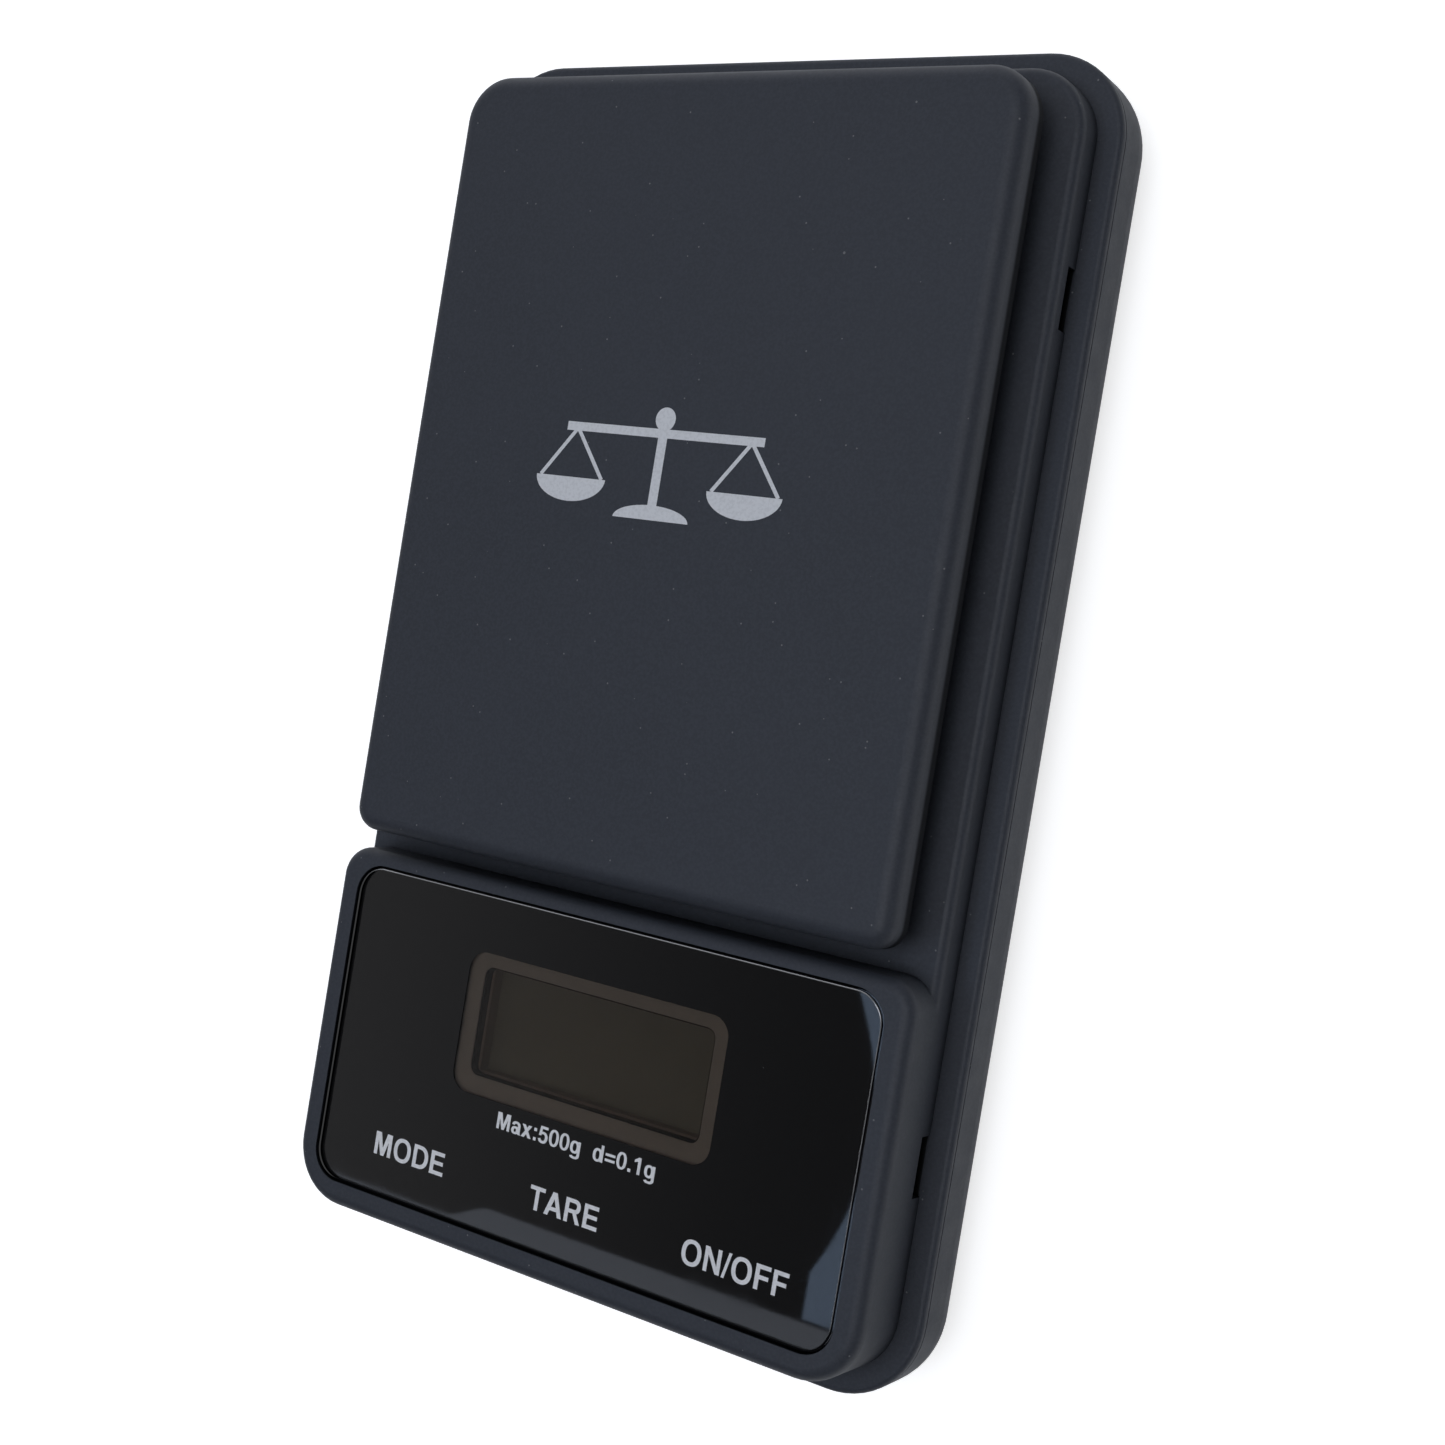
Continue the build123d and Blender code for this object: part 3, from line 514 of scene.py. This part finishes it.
def bar(start, end, thickness):
    """Straight stroke between two points."""
    direction = Vector((end[0] - start[0], end[1] - start[1])).normalized()
    side = Vector((-direction.y, direction.x)) * thickness / 2
    return [(start[0] + side.x, start[1] + side.y), (end[0] + side.x, end[1] + side.y),
            (end[0] - side.x, end[1] - side.y), (start[0] - side.x, start[1] - side.y)]


# ---- pieces -----------------------------------------------------------------------------
SHARP_ANGLE = 35.0
BEVEL_ROUNDS = 3
# printed ink, in mm: how thick, how far it sinks in, and how much each stroke adds
INK_THICKNESS = 0.004
PRINT_SINK = 0.002
STROKE_STEP = 0.0005


def to_mesh(source, name, material):
    """Turns a curve object into a plain mesh piece."""
    bpy.context.scene.collection.objects.link(source)
    bpy.context.view_layer.update()
    graph = bpy.context.evaluated_depsgraph_get()
    mesh = bpy.data.meshes.new_from_object(source.evaluated_get(graph))
    mesh.transform(source.matrix_world)
    data = source.data
    bpy.data.objects.remove(source)
    bpy.data.curves.remove(data)
    return finished(mesh, name, material)


def ring_solid(name, rings, material):
    """Closed band through rings of equal point count; the last ring joins the first."""
    count = len(rings[0][0])
    vertices = [Vector((x, y, level)) * MM for points, level in rings for x, y in points]
    faces = []
    for ring in range(len(rings)):
        here, there = ring * count, (ring + 1) % len(rings) * count
        faces += [[here + k, here + (k + 1) % count, there + (k + 1) % count, there + k]
                  for k in range(count)]
    mesh = bpy.data.meshes.new(name)
    mesh.from_pydata(vertices, [], faces)
    return finished(mesh, name, material)


def finished(mesh, name, material):
    """Object made of a mesh, with one material and smooth shading between sharp edges."""
    mesh.materials.clear()
    mesh.materials.append(material)
    mesh.shade_smooth()
    mesh.set_sharp_from_angle(angle=math.radians(SHARP_ANGLE))
    piece = bpy.data.objects.new(name, mesh)
    bpy.context.scene.collection.objects.link(piece)
    return piece


def flat_solid(name, outline, low, high, material, bevel=0.0):
    """Flat piece between two levels in mm, with softened edges."""
    curve = bpy.data.curves.new(name, "CURVE")
    curve.dimensions = "2D"
    curve.fill_mode = "BOTH"
    curve.extrude = ((high - low) / 2 - bevel) * MM
    curve.bevel_depth = bevel * MM
    curve.bevel_resolution = BEVEL_ROUNDS
    curve.offset = -bevel * MM
    spline = curve.splines.new("POLY")
    spline.points.add(len(outline) - 1)
    for point, (x, y) in zip(spline.points, outline):
        point.co = (x * MM, y * MM, 0.0, 1.0)
    spline.use_cyclic_u = True
    source = bpy.data.objects.new(name, curve)
    source.location.z = (low + high) / 2 * MM
    return to_mesh(source, name, material)


def printed(name, strokes, base, material):
    """Strokes printed on a face; each stands a hair higher, so crossings stay clean."""
    vertices, faces = [], []
    for index, outline in enumerate(strokes):
        area = sum(a[0] * b[1] - b[0] * a[1] for a, b in zip(outline, outline[1:] + outline[:1]))
        loop = outline if area > 0 else outline[::-1]
        first, count = len(vertices), len(loop)
        for level in (base, base + INK_THICKNESS + index * STROKE_STEP):
            vertices += [Vector((x, y, level)) * MM for x, y in loop]
        faces.append([first + k for k in reversed(range(count))])
        faces.append([first + count + k for k in range(count)])
        faces += [[first + k, first + (k + 1) % count, first + count + (k + 1) % count,
                   first + count + k] for k in range(count)]
    mesh = bpy.data.meshes.new(name)
    mesh.from_pydata(vertices, [], faces)
    return finished(mesh, name, material)


def add(piece, body, slot, *replaced):
    """Lets a piece ride on a body, in place of the replaced nodes, which are hidden; slot is not
    used.
    """
    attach(piece, body)
    if replaced:
        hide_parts(*replaced)


# ---- front panel: clear sheet over a printed face, with a smoked pane in its window ------
PANEL_CORNER = 3.3
PANEL_BEVEL = 0.22
# gaps around the clear sheet, and between it and the print
RIM_GAP = 0.10
CLEAR_GAP = 0.04
# how deep the print lies, how far in it ends and how thick it is at the window
PRINT_DEPTH = 0.66
PRINT_INSET = 0.16
PRINT_SKIN = 0.05
# how far the pane's seat reaches past the window, and the gap around the pane
PANE_MARGIN = 1.2
PANE_GAP = 0.03

overlay_low, overlay_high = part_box("front_overlay")
panel_bottom, panel_top = overlay_low.z / MM, overlay_high.z / MM
print_level = panel_top - PRINT_DEPTH
skin_level = print_level - PRINT_SKIN

# centre, width, length and corner radius
panel = (((overlay_low.x + overlay_high.x) / 2 / MM, (overlay_low.y + overlay_high.y) / 2 / MM),
         (overlay_high.x - overlay_low.x) / MM, (overlay_high.y - overlay_low.y) / MM,
         PANEL_CORNER)
WINDOW = ((0.0, -38.95), 32.8, 14.95, 2.1)


def grown(centre, width, length, corner, by=0.0):
    """Rounded rectangle, moved outwards by a distance."""
    return rounded_outline(centre, width + 2 * by, length + 2 * by, corner + by)


print_edge = grown(*panel, -PRINT_INSET)
window_edge = grown(*WINDOW)
pane_seat = grown(*WINDOW, PANE_MARGIN)
# the printed face is thin around the window, so that its cut edge hardly shows
print_rings = [
    (print_edge, panel_bottom), (print_edge, print_level), (window_edge, print_level),
    (window_edge, skin_level), (pane_seat, skin_level), (pane_seat, panel_bottom)]
add(ring_solid("panel_print", print_rings, black_print), "housing", "overlay_gloss")
add(flat_solid("window_pane", grown(*WINDOW, PANE_MARGIN - PANE_GAP),
               panel_bottom + PANE_GAP, skin_level - PANE_GAP,
               clear_pane("smoked_pane", SMOKED)),
    "housing", "overlay_gloss")
add(flat_solid("panel_clear", grown(*panel, -RIM_GAP), print_level + CLEAR_GAP, panel_top,
               clear_edge("polished_sheet"), bevel=PANEL_BEVEL),
    "housing", "overlay_gloss", "front_overlay")

# ---- printed legends --------------------------------------------------------------------
# bold grotesque letters, in units of the capital height: advance width, then strokes
GLYPHS = {
    " ": (0.39, []),
    "M": (1.16, [box(0.10, 0, 0.29, 1), box(0.87, 0, 1.06, 1),
                 slant((0.487, 0.673), (0.18, 0.40)), slant((0.487, 0.673), (0.76, 0.98))]),
    "O": (1.08, [bow((0.54, 0.5), (0.485, 0.525), (0.20, 0.165))]),
    "D": (1.00, [box(0.10, 0, 0.295, 1), box(0.10, 0, 0.47, 0.165), box(0.10, 0.835, 0.47, 1),
                 bow((0.45, 0.5), (0.505, 0.5), (0.20, 0.165), -90, 90)]),
    "E": (0.93, [box(0.10, 0, 0.30, 1), box(0.10, 0, 0.865, 0.17),
                 box(0.10, 0.43, 0.81, 0.595), box(0.10, 0.83, 0.85, 1)]),
    "T": (0.85, [box(0.02, 0.83, 0.83, 1), box(0.327, 0, 0.523, 1)]),
    "A": (1.00, [slant((0.02, 0.235), (0.385, 0.60)), slant((0.765, 0.98), (0.40, 0.615)),
                 box(0.22, 0.22, 0.78, 0.38)]),
    "R": (1.00, [box(0.10, 0, 0.295, 1), box(0.10, 0.835, 0.60, 1), box(0.10, 0.405, 0.60, 0.57),
                 bow((0.58, 0.7025), (0.325, 0.2975), (0.195, 0.165), -90, 90),
                 slant((0.735, 0.965), (0.50, 0.71), 0.0, 0.44)]),
    "N": (1.00, [box(0.10, 0, 0.285, 1), box(0.725, 0, 0.91, 1),
                 slant((0.70, 0.91), (0.10, 0.31))]),
    "F": (0.85, [box(0.10, 0, 0.30, 1), box(0.10, 0.42, 0.74, 0.585), box(0.10, 0.83, 0.815, 1)]),
    "/": (0.39, [slant((0.0, 0.14), (0.25, 0.39), -0.02, 1.02)]),
    "a": (0.77, [bow((0.365, 0.475), (0.32, 0.285), (0.19, 0.145), 0, 165),
                 box(0.50, 0.10, 0.685, 0.475), slant((0.53, 0.74), (0.50, 0.685), 0.0, 0.10),
                 bow((0.31, 0.22), (0.27, 0.235), (0.185, 0.13)),
                 box(0.31, 0.325, 0.60, 0.455)]),
    "x": (0.77, [slant((0.01, 0.25), (0.50, 0.74), 0.0, 0.76),
                 slant((0.52, 0.76), (0.03, 0.27), 0.0, 0.76)]),
    ":": (0.46, [box(0.14, 0, 0.34, 0.195), box(0.14, 0.56, 0.34, 0.755)]),
    "5": (0.77, [box(0.15, 0.83, 0.68, 0.99), slant((0.06, 0.235), (0.14, 0.315), 0.42, 0.99),
                 bow((0.36, 0.325), (0.35, 0.345), (0.195, 0.15), -160, 140)]),
    "0": (0.77, [bow((0.385, 0.49), (0.345, 0.505), (0.19, 0.14))]),
    "g": (0.85, [bow((0.37, 0.385), (0.325, 0.375), (0.19, 0.14)), box(0.575, -0.08, 0.765, 0.745),
                 bow((0.41, -0.06), (0.355, 0.245), (0.19, 0.14), -155, 0)]),
    "d": (0.85, [bow((0.37, 0.375), (0.325, 0.395), (0.19, 0.14)), box(0.575, 0, 0.765, 1)]),
    "=": (0.81, [box(0.06, 0.18, 0.75, 0.33), box(0.06, 0.50, 0.75, 0.65)]),
    ".": (0.39, [box(0.09, 0, 0.29, 0.195)]),
    "1": (0.77, [box(0.34, 0, 0.535, 0.99),
                 [(0.10, 0.66), (0.38, 0.76), (0.38, 0.99), (0.10, 0.81)]]),
}


def lettering(name, text, centre, width, cap_height, base, material):
    """Printed words fitted to a width and a capital height, in mm."""
    strokes, pen = [], 0.0
    for letter in text:
        advance, shapes = GLYPHS[letter]
        strokes += [[(x + pen, y) for x, y in shape] for shape in shapes]
        pen += advance
    left = min(x for shape in strokes for x, _ in shape)
    right = max(x for shape in strokes for x, _ in shape)
    across = width / (right - left)
    fitted = [[(centre[0] + (x - (left + right) / 2) * across,
                centre[1] + (y - 0.5) * cap_height) for x, y in shape] for shape in strokes]
    return printed(name, fitted, base, material)


KEY_Y = -54.77
KEY_CAPS = 2.48
# piece, words, centre, width and capital height, in mm
LEGENDS = (
    ("legend_mode", "MODE", (-20.5, KEY_Y), 9.8, KEY_CAPS),
    ("legend_tare", "TARE", (0.44, KEY_Y), 8.8, KEY_CAPS),
    ("legend_power", "ON/OFF", (21.2, KEY_Y), 12.2, KEY_CAPS),
    ("legend_rating", "Max:500g  d=0.1g", (0.5, -48.2), 20.2, 1.74),
)
for legend_name, words, centre, width, height in LEGENDS:
    add(lettering(legend_name, words, centre, width, height, print_level - PRINT_SINK,
                  white_print), "housing", "overlay_gloss")

# ---- generic two-pan balance printed on the tray ----------------------------------------
MARK = Vector((-0.5, 20.8))
ARC_STEPS = 24
# heights over the middle of the mark
POST_LOW, POST_HIGH = -5.0, 4.8
BASE_Y = -5.2
BEAM_LOW, BEAM_HIGH = 3.1, 4.0
KNOB_Y = 5.0
HOOK_Y = 3.4
PAN_Y = -1.7
# half widths and radii
POST_HALF = 0.55
BASE_RADII = (4.6, 1.5)
BEAM_HALF = 12.0
KNOB_WIDTH = 2.4
KNOB_CORNER = 1.19
PAN_REACH = 10.6
PAN_RADII = (4.4, 2.5)
CORD = 0.42
CORD_INSET = 0.5


def half_disc(centre, width, depth):
    """Bowl outline: level on top, round below; a negative depth turns it over."""
    angles = [math.radians(180 + 180 * step / ARC_STEPS) for step in range(ARC_STEPS + 1)]
    return [(centre[0] + width * math.cos(a), centre[1] + depth * math.sin(a)) for a in angles]


balance = [
    box(MARK.x - POST_HALF, MARK.y + POST_LOW, MARK.x + POST_HALF, MARK.y + POST_HIGH),
    half_disc((MARK.x, MARK.y + BASE_Y), BASE_RADII[0], -BASE_RADII[1]),
    box(MARK.x - BEAM_HALF, MARK.y + BEAM_LOW, MARK.x + BEAM_HALF, MARK.y + BEAM_HIGH),
    rounded_outline((MARK.x, MARK.y + KNOB_Y), KNOB_WIDTH, KNOB_WIDTH, KNOB_CORNER, 8),
]
for side in (-1, 1):
    hook = (MARK.x + side * PAN_REACH, MARK.y + HOOK_Y)
    pan = (hook[0], MARK.y + PAN_Y)
    balance += [bar(hook, (pan[0] + end * (PAN_RADII[0] - CORD_INSET), pan[1]), CORD)
                for end in (-1, 1)]
    balance.append(half_disc(pan, *PAN_RADII))
add(printed("balance_mark", balance, tray_top - PRINT_SINK, mark_print),
    "platform", "shell_plastic")

# ---- floor, light and camera ------------------------------------------------------------
scene = bpy.context.scene
scene.view_settings.view_transform = "Standard"
FLOOR_REACH = 4.0
# glow of the floor, and what is added where the camera sees it
FLOOR_GLOW = 0.33
SEEN_GLOW = 0.36
BACKDROP = (0.93, 0.94, 0.95)

SKY_TINT = (0.95, 0.98, 1.05)
UNDER_LIGHT = 0.55
HORIZON_LIGHT = 0.03
# lights of the world: towards, rim and core as cosines, strength
LOBES = (
    ((0.20, 0.0, 1.0), 0.89, 0.955, 2.35),
    ((-0.8, 0.55, 0.6), 0.3, 0.95, 0.24),
    ((-0.45, 0.9, 0.06), 0.72, 0.97, 0.8),
)

# What the glossy panel mirrors, as slopes x / z and y / z of a direction above the horizon:
# a bright window with a bow in its edge, a bright strip on the near side with a step in its
# edge, and the dim part between them.
LOWEST = 0.02
SOFT = 0.0012
EDGE_X = -0.5066
BOW_X = 0.0236
BOW_Y, BOW_HALF = -0.243, 0.083
STRIP_Y, STEPPED_Y = -0.367, -0.3545
STEP_LOW, STEP_HIGH = -0.772, -0.735
WINDOW_LIGHT = (1.20, 1.58, 2.2)
NEAR_LIGHT = (1.10, 1.19, 1.38)


def lightbox_floor(name):
    """White floor that also glows, and lets a camera below it look up at the object."""
    g = Graph(name)
    coords = g.node("ShaderNodeTexCoord").outputs["Object"]
    cloud = g.node("ShaderNodeTexNoise", {"Vector": coords, "Scale": 3.0}).outputs["Fac"]
    tone = g.mix(cloud, (0.84, 0.84, 0.83), (0.87, 0.87, 0.86))
    paper = g.node("ShaderNodeBsdfDiffuse", {"Color": tone}).outputs[0]
    seen = g.node("ShaderNodeLightPath").outputs["Is Camera Ray"]
    light = g.node("ShaderNodeEmission", {
        "Color": WHITE, "Strength": g.add(g.times(seen, SEEN_GLOW), FLOOR_GLOW)}).outputs[0]
    lit = g.node("ShaderNodeAddShader", {0: paper, 1: light}).outputs[0]
    below = g.node("ShaderNodeBsdfTransparent").outputs[0]
    return g.done(g.blend(g.backfacing(), lit, below))


def studio_world(name):
    """Soft overhead light with a dim side; what the glossy panel mirrors is set by slope."""
    g = Graph(name, world=True)
    direction = g.node("ShaderNodeTexCoord").outputs["Generated"]
    x, y, z = g.split(direction)
    height = g.math("MAXIMUM", z, LOWEST)
    slope_x, slope_y = g.math("DIVIDE", x, height), g.math("DIVIDE", y, height)

    def lobe(towards, rim, core, strength):
        made = g.node("ShaderNodeVectorMath", {0: direction, 1: Vector(towards).normalized()},
                      operation="DOT_PRODUCT")
        return g.ramp(made.outputs["Value"], rim, core, 0.0, strength)

    level = g.add(*[lobe(*each) for each in LOBES],
                  g.ramp(z, -0.3, 0.0, UNDER_LIGHT, HORIZON_LIGHT))
    light = g.node("ShaderNodeVectorMath", {0: SKY_TINT}, operation="SCALE")
    g.put(light.inputs["Scale"], level)
    sky = light.outputs["Vector"]

    def inside(value, low, high, soft=SOFT):
        return g.times(g.ramp(value, low - soft, low + soft),
                       g.ramp(value, high - soft, high + soft, 1.0, 0.0))

    off = g.math("DIVIDE", g.add(slope_y, -BOW_Y), BOW_HALF)
    bowed = g.math("MAXIMUM", g.math("SUBTRACT", 1.0, g.times(off, off)), 0.0)
    edge_x = g.add(g.times(bowed, BOW_X), EDGE_X)
    edge_y = g.ramp(slope_x, STEP_LOW, STEP_HIGH, STRIP_Y, STEPPED_Y)
    from_x = g.math("SUBTRACT", slope_x, edge_x)
    from_y = g.math("SUBTRACT", slope_y, edge_y)
    window = g.times(inside(from_x, 0.0, 0.22), inside(from_y, 0.002, 0.5))
    near = g.times(inside(slope_x, -1.1, -0.2, 0.02), inside(from_y, -0.07, 0.0))
    dark = g.times(inside(from_x, -0.7, 0.0), inside(from_y, 0.0, 0.26))
    dim = g.ramp(slope_x, -0.48, -0.95, 0.12, 0.42)
    haze = g.node("ShaderNodeCombineColor", {0: dim, 1: dim, 2: g.times(dim, 1.02)}).outputs[0]
    sky = g.mix(dark, sky, haze)
    sky = g.mix(near, sky, NEAR_LIGHT)
    sky = g.mix(window, sky, WINDOW_LIGHT)
    # a camera that looks past the floor sees the pale backdrop, not the dim side
    seen = g.node("ShaderNodeLightPath").outputs["Is Camera Ray"]
    sky = g.mix(seen, sky, BACKDROP)
    return g.done(g.node("ShaderNodeBackground", {"Color": sky}).outputs[0])


floor_mesh = bpy.data.meshes.new("floor")
floor_mesh.from_pydata([Vector((x, y, 0.0)) * FLOOR_REACH for x, y in box(-1, -1, 1, 1)],
                       [], [(0, 1, 2, 3)])
floor_mesh.materials.append(lightbox_floor("lightbox"))
floor = bpy.data.objects.new("floor", floor_mesh)
scene.collection.objects.link(floor)
scene.world = studio_world("studio")

# The camera stands over the right side, turned so that the panel is at the bottom left;
# the angles say from where it looks and how far it is turned, in degrees.
CAMERA_PLACE = Vector((113.70, 1.50, 183.74)) * MM
CAMERA_AZIMUTH = 2.5450
CAMERA_ELEVATION = 58.0100
CAMERA_TURN = -82.7993
camera_data = bpy.data.cameras.new("camera")
camera_data.sensor_width = 36.0
camera_data.lens = 49.42
camera_data.clip_start = 0.01
camera = bpy.data.objects.new("camera", camera_data)
aim = Matrix.Rotation(math.radians(90 + CAMERA_AZIMUTH), 4, "Z")
aim @= Matrix.Rotation(math.radians(90 - CAMERA_ELEVATION), 4, "X")
aim @= Matrix.Rotation(math.radians(CAMERA_TURN), 4, "Z")
camera.matrix_world = Matrix.Translation(CAMERA_PLACE) @ aim
scene.collection.objects.link(camera)
scene.camera = camera
